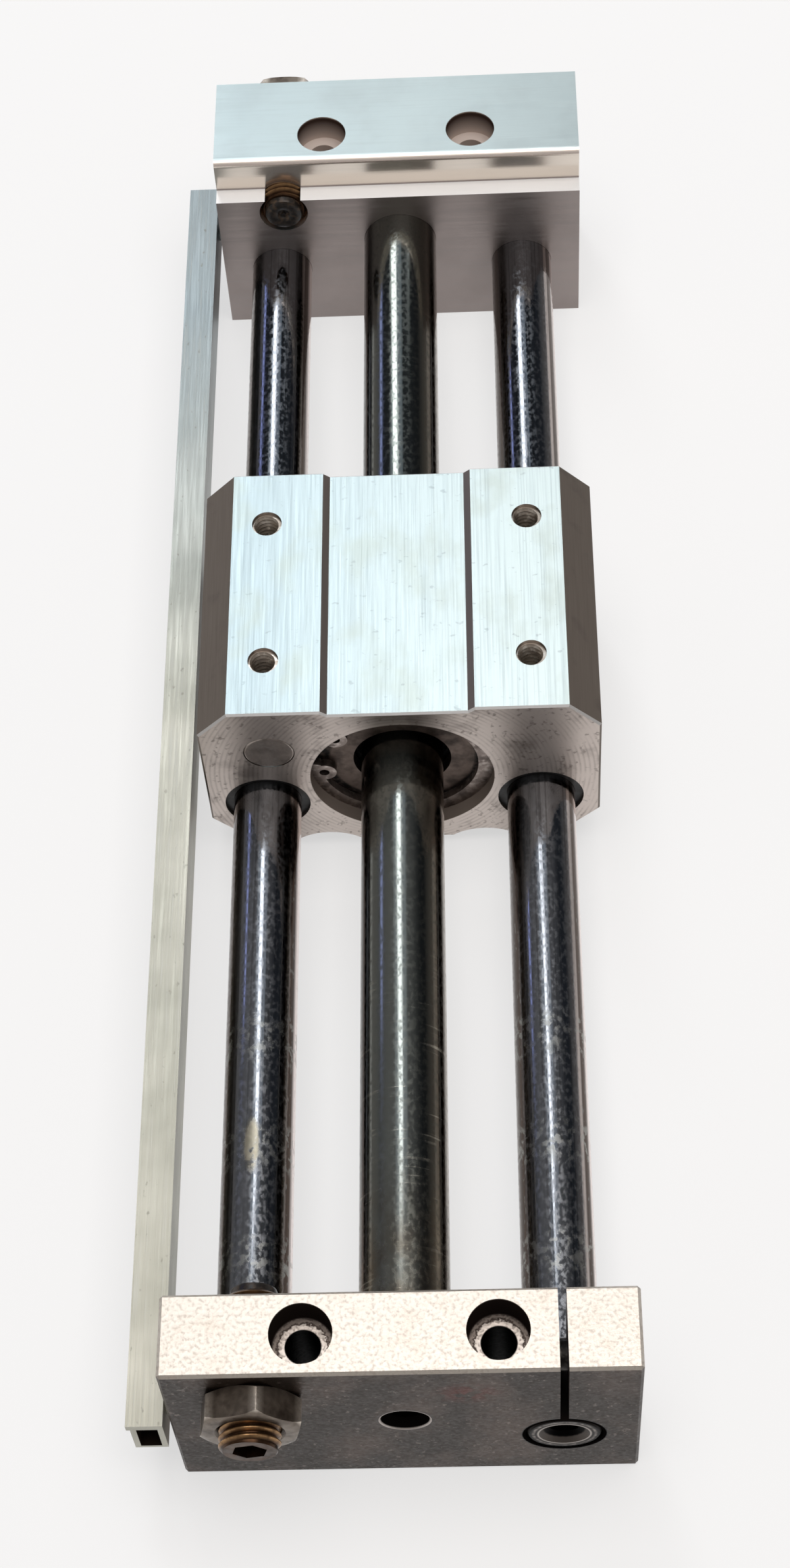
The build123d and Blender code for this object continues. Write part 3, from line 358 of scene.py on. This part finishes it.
# The water dried in clusters at even distances along the near half
phase = {0: at[1], 1: math.tau / marks_apart, 2: -math.tau * marks_middle / marks_apart}
clusters = add(tree, "Math", {"operation": "MULTIPLY_ADD"}, phase)
clusters = add(tree, "Math", {"operation": "COSINE"}, {0: clusters})
marks = mask(tree, 0.55, (spots, 0.52, 0.60), (clusters, 0.0, 0.8), (at[1], -46, -50))
drop = distance(tree, place, (left_shaft_axis[0] - 0.5, -70.5, 0), (1.6, 0.42, 0))
drop = mask(tree, 0.65, (drop, 1.9, 1.3), (facing[2], 0.4, 0.6), (spots, 0.30, 0.45))
seated_in_shade = mask(tree, 1.0, (at[1], near_face + 11.25, near_face + 10.95))
axis = distance(tree, place, right_shaft_axis, (1, 0, 1))
cone = mask(tree, 1.0, (axis, 3.31, 3.28), (seated_in_shade, 0.0, 1.0))
# The hollow shaft's near end: a dull pitted face with a dark edge, and a countersunk bore painted black as
# painted shade
face = paint(
    tree, "#4b4643",
    (mask(tree, 1.0, (pits, 0.40, 0.65)), "#97908c"),
    (mask(tree, 1.0, (axis, 4.05, 4.30)), "#131110"),
    (mask(tree, 1.0, (axis, 3.95, 3.75)), "#2a2624"),
    (mask(tree, 1.0, (axis, 3.60, 3.45)), "#a8a19c"),
)
# Its sides carry a painted dark reflection, and a light hairline and a light rim at the right that are
# painted reflections
colour = paint(
    tree, "#94979c",
    (mask(tree, 1.0, (side, 0.50, 0.85)), "#46382f"),
    (mask(tree, 1.0, (facing[0], 0.91, 0.97)), "#efe2de"),
    (mask(tree, 0.8, (facing[0], 0.71, 0.74), (facing[0], 0.82, 0.79)), "#b3a9a4"),
    (mask(tree, 0.45, (streaks, 0.52, 0.66)), "#3b3838"),
    (mask(tree, 0.35, (flecks, 0.62, 0.68), (at[1], -8, -20)), "#8f9290"),
    (marks, "#a5a6a1"),
    (drop, "#b7ad92"),
    # Its length inside the plate is painted near black as painted shade
    (seated_in_shade, "#1a1614"),
    (mask(tree, 1.0, (seated_in_shade, 0.0, 1.0), (facing[1], -0.8, -0.95)), face),
    (cone, "#57514d"),
    (mask(tree, 1.0, (axis, 2.75, 2.60), (cone, 0.0, 1.0)), "#080707"),
)
matt = add(tree, "Math", {"operation": "MAXIMUM"}, {0: marks, 1: drop})
rough = add(tree, "MapRange", None, {"Value": mottle, 1: 0.42, 2: 0.60, 3: 0.07, 4: 0.26})
rough = add(tree, "Mix", None, {0: matt, 2: rough, 3: 0.40})
rough = add(tree, "Mix", None, {0: seated_in_shade, 2: rough, 3: 0.5})
film = mask(tree, 0.24, (at[1], -5, -30), (facing[2], 0.70, 0.95), (facing[0], 0.40, 0.05))
dress(tree, shader, colour, rough, marks, 0.01, 0.2, film)

# Stainless tube, drawn and polished: warmer than the shafts, dusty, with rubbing marks round its near end
tube_finish, tree, shader, place, at, facing = finish("polished stainless tube", 1.0, 0.12)
rubs = grains(tree, place, 0.45, 3.0, x=30, z=30)
wipes = grains(tree, place, 3.0, 5.0, y=1.5)
specks = grains(tree, place, 0.6, 3.0, y=1.5)
near_end = mask(tree, 1.0, (at[1], -76, -92))
worn = add(tree, "MapRange", None, {"Value": wipes, 1: 0.35, 2: 0.60, 3: 0.3, 4: 0.9})
worn = add(tree, "Math", {"operation": "MULTIPLY"}, {0: worn, 1: near_end})
rubbed = add(tree, "MapRange", None, {"Value": at[1], 1: -45, 2: -60, 3: 0.12, 4: 0.55})
scored = mask(tree, 0.7, (rubs, 0.60, 0.68), (wipes, 0.46, 0.60))
scored = add(tree, "Math", {"operation": "MULTIPLY"}, {0: scored, 1: rubbed})
colour = paint(
    tree, "#8f938e",
    # Its sides carry painted dark reflections, and a painted light reflection along its right rim
    (mask(tree, 1.0, (facing[0], 0.25, 0.80)), "#4c4339"),
    (mask(tree, 1.0, (facing[0], -0.55, -0.85)), "#3b3632"),
    (mask(tree, 0.7, (facing[0], 0.93, 0.98)), "#b0a69b"),
    (worn, "#6f6557"),
    (mask(tree, 0.35, (specks, 0.50, 0.70)), "#454a44"),
    (scored, "#c9c3b4"),
)
rough = add(tree, "MapRange", None, {"Value": specks, 1: 0.45, 2: 0.62, 3: 0.11, 4: 0.24})
rough = add(tree, "Math", {"operation": "MULTIPLY_ADD"}, {0: scored, 1: 0.30, 2: rough})
rough = add(tree, "Math", {"operation": "MULTIPLY_ADD"}, {0: near_end, 1: 0.06, 2: rough})
film = mask(tree, 0.24, (at[1], -5, -30), (facing[2], 0.70, 0.95), (facing[0], 0.45, 0.05))
dress(tree, shader, colour, rough, rubs, 0.01, 0.25, film)


def worn_metal(name, fresh, worn, grime, roughness, axis=None, worn_from=0.0, worn_to=1.0):
    """Turned, rolled or stamped metal, worn bright where it is touched and dull in its hollows."""
    made, tree, shader, place, _, _ = finish(name, 0.9, roughness)
    wear = grains(tree, place, 0.9, 5.0)
    dirt = grains(tree, place, 2.5, 4.0)
    share = mask(tree, 0.55, (wear, 0.50, 0.66))
    if axis:
        crests = mask(tree, 1.0, (distance(tree, place, axis, (1, 0, 1)), worn_from, worn_to))
        patchy = add(tree, "MapRange", None, {"Value": wear, 1: 0.30, 2: 0.55, 3: 0.35, 4: 1.0})
        share = add(tree, "Math", {"operation": "MULTIPLY"}, {0: crests, 1: patchy})
    colour = paint(tree, fresh, (mask(tree, 0.75, (dirt, 0.45, 0.68)), grime), (share, worn))
    limits = {"Value": wear, 1: 0.3, 2: 0.7, 3: roughness + 0.12, 4: roughness - 0.06}
    rough = add(tree, "MapRange", None, limits)
    dress(tree, shader, colour, rough, wear, 0.04, 0.35)
    return made


# Blued nut steel, rubbed bright along its corners by the spanner
nut_finish = worn_metal(
    "spanner-worn nut steel", "#766c62", "#e0d6ca", "#3b312a", 0.34, stop_bolt_axis, 6.4, 7.0)
# Fine thread steel with brown oil varnish in its roots and bright crests
thread_finish = worn_metal(
    "oil-browned thread steel", "#4a3424", "#a5825c", "#22170f", 0.32, stop_bolt_axis, 3.55, 3.95)
# Small screws, black oxide: dark, faintly satin
screw_finish = worn_metal("black oxide screw steel", "#3a3836", "#77736e", "#1f1c1a", 0.38)
# Stamped spring steel ring, phosphated: grey-pink, matt
ring_finish = worn_metal("phosphated spring steel", "#8e827c", "#c9beb7", "#3b312d", 0.34)
# Plain washer, zinc plated: dulled to brown and darkened further as painted shade inside the bore, spotted
# with old grease, with a black band near its rim that is a painted shadow of the retaining ring
washer_finish = worn_metal(
    "greased zinc washer", "#675a53", "#0d0b0a", "#2b231f", 0.42, tube_axis, 10.5, 10.9)
# Hardened stop pad, ground: grey, darker than the block round it
pad_finish = worn_metal("ground hardened steel", "#a0958e", "#b9b0a9", "#6d645f", 0.34)
# Thread insert, stainless: bright turns in a shaded hole
insert_finish = worn_metal("stainless insert wire", "#b8ada1", "#fffaf0", "#5a5048", 0.30)
# Sintered bronze bush
bush_finish = worn_metal("sintered bronze", "#9a7442", "#c29a62", "#5f4526", 0.45)
# Sintered magnets, nickel plated
magnet_finish = worn_metal("nickel plated magnet", "#a8a6a2", "#d8d6d2", "#77746e", 0.22)
# Soft iron yoke discs, rolled and blanked
yoke_finish = worn_metal("rolled soft iron", "#77746f", "#a4a19b", "#4b4844", 0.35)
# Turned aluminium pistons and holders
core_finish = worn_metal("turned aluminium", "#b9b9b7", "#dededb", "#7f7c77", 0.30)


def moulded(name, fresh, dust, roughness):
    """Moulded rubber or resin: dull, with dust and rubbed patches."""
    made, tree, shader, place, _, _ = finish(name, 0.0, roughness, 0.4)
    dusting = grains(tree, place, 0.8, 5.0)
    patches = grains(tree, place, 3, 3.0)
    colour = paint(tree, fresh, (mask(tree, 0.6, (dusting, 0.48, 0.70), (patches, 0.25, 0.65)), dust))
    limits = {"Value": dusting, 1: 0.3, 2: 0.7, 3: roughness - 0.1, 4: roughness + 0.1}
    rough = add(tree, "MapRange", None, limits)
    dress(tree, shader, colour, rough, dusting, 0.05, 0.4)
    return made


# Nitrile seals and scrapers: near black, greasy
seal_finish = moulded("black nitrile rubber", "#0d0c0c", "#3d3632", 0.45)
# Urethane bumpers, scuffed brown where they strike
bumper_finish = moulded("scuffed black urethane", "#1d1916", "#6a5440", 0.36)
# Acetal wear rings: off-white, waxy
resin_finish = moulded("natural acetal resin", "#d8cfb8", "#a79d86", 0.42)

FINISHES = {
    near_plate_finish: ("near_plate",),
    far_plate_finish: ("far_plate",),
    block_finish: ("slide_block",),
    rail_finish: ("switch_rail", "rail_spacers"),
    shaft_finish: ("guide_shaft_left", "guide_shaft_right"),
    tube_finish: ("cylinder_tube",),
    nut_finish: ("near_lock_nut", "far_lock_nut"),
    thread_finish: ("near_stop_bolt", "far_stop_bolt"),
    screw_finish: (
        "clamp_screw", "shaft_set_screws", "passage_plug", "rail_screws", "piston_shaft",
        "near_piston_nut", "far_piston_nut",
    ),
    ring_finish: ("near_retaining_ring", "far_retaining_ring"),
    washer_finish: ("near_washer", "far_washer"),
    pad_finish: ("near_stop_pad", "far_stop_pad"),
    insert_finish: ("thread_inserts",),
    bush_finish: ("guide_bushes",),
    magnet_finish: ("outer_magnets", "inner_magnets", "switch_magnet"),
    yoke_finish: ("outer_yokes", "inner_yokes"),
    core_finish: ("near_piston", "far_piston", "near_wear_ring_holder", "far_wear_ring_holder"),
    seal_finish: (
        "tube_gaskets", "shaft_gasket", "shaft_scrapers", "near_tube_scraper", "far_tube_scraper",
        "near_piston_seal", "far_piston_seal",
    ),
    bumper_finish: ("near_stop_bumper", "far_stop_bumper", "near_piston_bumper", "far_piston_bumper"),
    resin_finish: (
        "near_tube_wear_ring", "far_tube_wear_ring", "near_piston_wear_ring", "far_piston_wear_ring",
    ),
}
for surface, names in FINISHES.items():
    for name in names:
        mesh = nodes[name].data
        mesh.materials.clear()
        mesh.materials.append(surface)


# New pieces

def verts_of(geometry):
    """The vertices among what an operator made."""
    return [item for item in geometry if isinstance(item, bmesh.types.BMVert)]


def edges_of(geometry):
    """The edges among what an operator made."""
    return [item for item in geometry if isinstance(item, bmesh.types.BMEdge)]


def cut(bm, place, normal, snap):
    """Cuts off what lies beyond a plane; a vertex nearer to the plane than snap lies on it."""
    bmesh.ops.bisect_plane(bm, geom=bm.verts[:] + bm.edges[:] + bm.faces[:], dist=snap,
                           plane_co=place, plane_no=normal, clear_outer=True)


def piece(bm, name, surface, body, slot, *replaced):
    """The bmesh as an object that rides on its body and stands for the CAD nodes named."""
    bmesh.ops.recalc_face_normals(bm, faces=bm.faces)
    mesh = bpy.data.meshes.new(name)
    bm.to_mesh(mesh)
    bm.free()
    mesh.materials.append(surface)
    mesh.shade_smooth()
    mesh.set_sharp_from_angle(angle=math.radians(35))
    made = bpy.data.objects.new(name, mesh)
    bpy.context.scene.collection.objects.link(made)
    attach(made, body)
    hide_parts(*replaced)


def set_radius(v, radius):
    """Moves a vertex straight towards or away from the Z axis, to that radius."""
    reach = Vector((v.co.x, v.co.y)).length
    v.co.x *= radius / reach
    v.co.y *= radius / reach


def set_along_stroke(bm, x, y, z, inward):
    """Turns a piece made along +Z so that it points inwards along the stroke, and sets it in place."""
    turn = Matrix.Rotation(-inward * math.pi / 2, 3, "X")
    bmesh.ops.rotate(bm, verts=bm.verts, cent=(0, 0, 0), matrix=turn)
    bmesh.ops.translate(bm, verts=bm.verts, vec=(x, y, z))


def turn_profile(bm, profile_mm, steps=72, closed=False):
    """A profile of radii and heights turned once round Z."""
    verts = [bm.verts.new((radius * MM, 0, height * MM)) for radius, height in profile_mm]
    pairs = list(zip(verts, verts[1:] + verts[:1])) if closed else list(zip(verts, verts[1:]))
    edges = [bm.edges.new(pair) for pair in pairs]
    bmesh.ops.spin(bm, geom=verts + edges, cent=(0, 0, 0), axis=(0, 0, 1), angle=math.tau, steps=steps,
                   use_merge=True)
    bmesh.ops.remove_doubles(bm, verts=bm.verts, dist=0.001 * MM)


def wind_thread(bm, root, crest, pitch, length, steps=40):
    """A thread about Z from 0 to length, spun from the profile of one pitch and cut at both planes."""
    profile = [(root, 0.0), (root, 0.12), (crest, 0.50), (crest, 0.62), (root, 1.0)]
    # It starts one and a half pitches low and winds three turns more than it needs, for clean cuts
    ring = [bm.verts.new((radius, 0, (share - 1.5) * pitch)) for radius, share in profile]
    edges = [bm.edges.new(pair) for pair in zip(ring, ring[1:])]
    turns = math.ceil(length / pitch) + 3
    bmesh.ops.spin(bm, geom=ring + edges, cent=(0, 0, 0), axis=(0, 0, 1), dvec=(0, 0, pitch / steps),
                   angle=math.tau * turns, steps=steps * turns)
    bmesh.ops.remove_doubles(bm, verts=bm.verts, dist=pitch * 0.01)
    cut(bm, (0, 0, 0), (0, 0, -1), 1e-7)
    cut(bm, (0, 0, length), (0, 0, 1), 1e-7)


def open_edges(bm, height):
    """The boundary edges that lie at that height."""
    return [e for e in bm.edges if e.is_boundary and all(abs(v.co.z - height) < 1e-6 for v in e.verts)]


def sink_pocket(bm, height, radius, sides, depth, turn=0.0):
    """Closes the open end at that height with a flat face round a pocket with that many sides."""
    rim = open_edges(bm, height)
    place = Matrix.Translation((0, 0, height)) @ Matrix.Rotation(turn, 4, "Z")
    circle = bmesh.ops.create_circle(bm, segments=sides, radius=radius, matrix=place)
    mouth = list(dict.fromkeys(e for v in circle["verts"] for e in v.link_edges))
    bmesh.ops.bridge_loops(bm, edges=rim + mouth)
    wall = bmesh.ops.extrude_edge_only(bm, edges=mouth)["geom"]
    bmesh.ops.translate(bm, verts=verts_of(wall), vec=(0, 0, depth))
    bmesh.ops.contextual_create(bm, geom=[e for e in edges_of(wall) if e.is_boundary])


def stop_bolt(end, inward):
    """A fine threaded stop bolt with a hexagon socket outside and a pocket for its bumper inside."""
    low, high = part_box(end + "_stop_bolt")
    length = high.y - low.y
    radius = (high.x - low.x) / 2
    pitch = 1.0 * MM
    thread_depth = 0.45 * MM
    chamfer = 0.55 * MM
    key_across_flats = 4.0 * MM
    key_depth = 4.5 * MM
    key_turn = math.radians(14)
    bumper_radius = 3.1 * MM
    bumper_depth = 3.0 * MM
    bm = bmesh.new()
    wind_thread(bm, radius - thread_depth, radius, pitch, length)
    for v in bm.verts:
        allowed = radius - chamfer + min(v.co.z, length - v.co.z)
        if Vector((v.co.x, v.co.y)).length > allowed:
            set_radius(v, allowed)
    sink_pocket(bm, 0, key_across_flats / math.sqrt(3), 6, key_depth, key_turn)
    sink_pocket(bm, length, bumper_radius, 36, -bumper_depth)
    start = low.y if inward > 0 else high.y
    set_along_stroke(bm, (low.x + high.x) / 2, start, (low.z + high.z) / 2, inward)
    piece(bm, end + "_threaded_stop_bolt", thread_finish, end + "_stop", "stop_bolt", end + "_stop_bolt")


def stop_bumper(end, inward):
    """A moulded bumper: a plug with a rounded striking face, and a dimple with the nub of its mould."""
    low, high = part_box(end + "_stop_bumper")
    length = (high.y - low.y) / MM
    radius = (high.x - low.x) / 2 / MM
    face = [(radius, 0.0), (radius, length - 0.5), (radius - 0.15, length - 0.15), (radius - 0.5, length)]
    dimple = [(1.25, length), (1.05, length - 0.12), (0.8, length - 0.45), (0.35, length - 0.45)]
    nub = [(0.25, length - 0.2), (0.0, length - 0.2)]
    bm = bmesh.new()
    turn_profile(bm, [(0.0, 0.0)] + face + dimple + nub)
    start = low.y if inward > 0 else high.y
    set_along_stroke(bm, (low.x + high.x) / 2, start, (low.z + high.z) / 2, inward)
    piece(bm, end + "_moulded_stop_bumper", bumper_finish, end + "_stop", "bumper", end + "_stop_bumper")


def lock_nut(end, inward, turn):
    """A lock nut as it is made: a turned blank with chamfered faces, then six flats."""
    low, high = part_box(end + "_lock_nut")
    bolt_low, bolt_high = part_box(end + "_stop_bolt")
    thick = (high.y - low.y) / MM
    to_flat = 6.0
    to_corner = 6.93
    bore = 4.0
    blank = [
        (bore, 0.35), (bore + 0.35, 0.0), (to_flat, 0.0), (to_corner, 0.54), (to_corner, thick - 0.54),
        (6.35, thick - 0.2), (5.75, thick), (bore + 0.45, thick), (bore, thick - 0.45),
    ]
    bm = bmesh.new()
    turn_profile(bm, blank, 120, True)
    for flat in range(6):
        angle = math.radians(30 + 60 * flat + turn)
        normal = Vector((math.cos(angle), math.sin(angle), 0))
        cut(bm, normal * to_flat * MM, normal, 1e-8)
        bmesh.ops.holes_fill(bm, edges=[e for e in bm.edges if e.is_boundary])
    centre = (bolt_low + bolt_high) / 2
    start = high.y if inward > 0 else low.y
    set_along_stroke(bm, centre.x, start, centre.z, -inward)
    piece(bm, end + "_chamfered_lock_nut", nut_finish, "base", "lock_nut", end + "_lock_nut")


def insert_sleeves():
    """Four steel sleeves with an inner thread, in the pads of the slide block."""
    low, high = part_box("thread_inserts")
    outer = 2.2 * MM
    root = 1.98 * MM
    crest = 1.70 * MM
    length = high.z - low.z
    bm = bmesh.new()
    # A whole number of turns, so that both ends of the thread meet the outer wall at the same angles
    wind_thread(bm, root, crest, length / 10, length)
    for height in (0, length):
        lip = bmesh.ops.extrude_edge_only(bm, edges=open_edges(bm, height))["geom"]
        for v in verts_of(lip):
            set_radius(v, outer)
    wall = bmesh.ops.extrude_edge_only(bm, edges=open_edges(bm, length))["geom"]
    bmesh.ops.translate(bm, verts=verts_of(wall), vec=(0, 0, -length))
    bmesh.ops.remove_doubles(bm, verts=bm.verts, dist=0.004 * MM)
    first = bm.verts[:] + bm.edges[:] + bm.faces[:]
    rows = (low.y + outer, high.y - outer)
    places = [(x, y, low.z) for x in (low.x + outer, high.x - outer) for y in rows]
    for place in places[1:]:
        copy = bmesh.ops.duplicate(bm, geom=first)["geom"]
        bmesh.ops.translate(bm, verts=verts_of(copy), vec=place)
    bmesh.ops.translate(bm, verts=verts_of(first), vec=places[0])
    piece(bm, "threaded_insert_sleeves", insert_finish, "carriage", "insert", "thread_inserts")


stop_bolt("near", 1)
stop_bolt("far", -1)
stop_bumper("near", 1)
stop_bumper("far", -1)
lock_nut("near", 1, 19)
lock_nut("far", -1, 0)
insert_sleeves()


# Stage, lights and camera

def floor():
    """A plain floor under the mounting face, whiter to the eye and in mirrors, with a soft shadow."""
    made, tree, shader, *_ = finish("pale studio floor", 0.0, 0.9, 0.1)
    feed(tree, shader.inputs["Base Color"], "#fbfbfb")
    rays = add(tree, "LightPath").outputs
    seen = rays["Is Camera Ray"]
    for kind in ("Is Glossy Ray", "Is Transmission Ray"):
        seen = add(tree, "Math", {"operation": "MAXIMUM"}, {0: seen, 1: rays[kind]})
    white = add(tree, "Emission", None, {"Color": "#ffffff", "Strength": 1.0})
    blend = add(tree, "MixShader", None, {0: mask(tree, 0.6, (seen, 0.0, 1.0)), 1: shader, 2: white})
    feed(tree, tree.nodes["Material Output"].inputs["Surface"], blend)
    bm = bmesh.new()
    bmesh.ops.create_grid(bm, x_segments=1, y_segments=1, size=4.0)
    mesh = bpy.data.meshes.new("floor")
    bm.to_mesh(mesh)
    bm.free()
    mesh.materials.append(made)
    ground = bpy.data.objects.new("floor", mesh)
    bpy.context.scene.collection.objects.link(ground)


def softbox(name, start, end, distance, width, radiance, colour):
    """A long lamp that faces the object, from one direction to the other."""
    start = Vector(start).normalized() * distance
    end = Vector(end).normalized() * distance
    length = (end - start).length
    light = bpy.data.lights.new(name, "AREA")
    light.shape = "RECTANGLE"
    light.size = width
    light.size_y = length
    light.energy = radiance * math.pi * width * length
    light.color = linear(colour)[:3]
    lamp = bpy.data.objects.new(name, light)
    centre = (start + end) / 2
    back = centre.normalized()
    along = (end - start).normalized()
    along = (along - back * along.dot(back)).normalized()
    across = along.cross(back)
    lamp.matrix_world = Matrix.Translation(centre) @ Matrix((across, along, back)).transposed().to_4x4()
    bpy.context.scene.collection.objects.link(lamp)


floor()
# The narrow lamp that draws the highlight along the shafts, and a wide weak one that softens its edges
softbox("key strip", (-0.06, 0.34, 0.94), (-0.24, 0.78, 0.58), 1.0, 0.15, 4.3, "#fbfdff")
softbox("key glow", (-0.02, 0.30, 0.94), (-0.18, 0.72, 0.62), 1.1, 0.50, 0.45, "#cfdcea")
# The violet window to the left, seen as a thin line in the shafts
softbox("window strip", (-0.75, 0.42, 0.49), (-0.57, 0.77, 0.31), 1.0, 0.10, 1.4, "#a9b3f2")
# The bright wall beyond, seen in the far plate and the block's top, and the lamp over the whole
softbox("far softbox", (0.0, 0.74, 0.64), (0.0, 0.90, 0.40), 1.1, 0.8, 0.9, "#f7fcff")
softbox("overhead softbox", (0.10, -0.38, 1.0), (0.10, 0.33, 1.25), 1.3, 1.0, 3.5, "#fffaf6")

# A warm grey room, dark beyond the far end
world = bpy.data.worlds.new("studio")
world.use_nodes = True
tree = world.node_tree
generated = add(tree, "TexCoord").outputs["Generated"]
direction = add(tree, "SeparateXYZ", None, {0: generated}).outputs
beyond = mask(tree, 1.0, (direction[1], 0.15, 0.40), (direction[2], 0.05, 0.40))
sky = paint(tree, "#a8a4a1", (beyond, "#383b40"))
background = add(tree, "Background", None, {"Color": sky, "Strength": 0.8})
feed(tree, tree.nodes["World Output"].inputs["Surface"], background)
bpy.context.scene.world = world

# The camera as it was fitted to the photograph
camera_data = bpy.data.cameras.new("camera")
camera_data.sensor_width = 36.0
camera_data.lens = 63.69
camera_data.clip_start = 0.01
camera_data.clip_end = 20.0
camera = bpy.data.objects.new("camera", camera_data)
right = Vector((0.998842, -0.002027, -0.048074))
down = Vector((-0.028066, -0.836074, -0.547899))
forward = Vector((-0.039083, 0.548613, -0.835162))
camera.matrix_world = Matrix.Translation((0.014767, -0.236140, 0.357030)) @ Matrix(
    (right, -down, -forward)).transposed().to_4x4()
bpy.context.scene.collection.objects.link(camera)
bpy.context.scene.camera = camera
bpy.context.scene.view_settings.view_transform = "Standard"
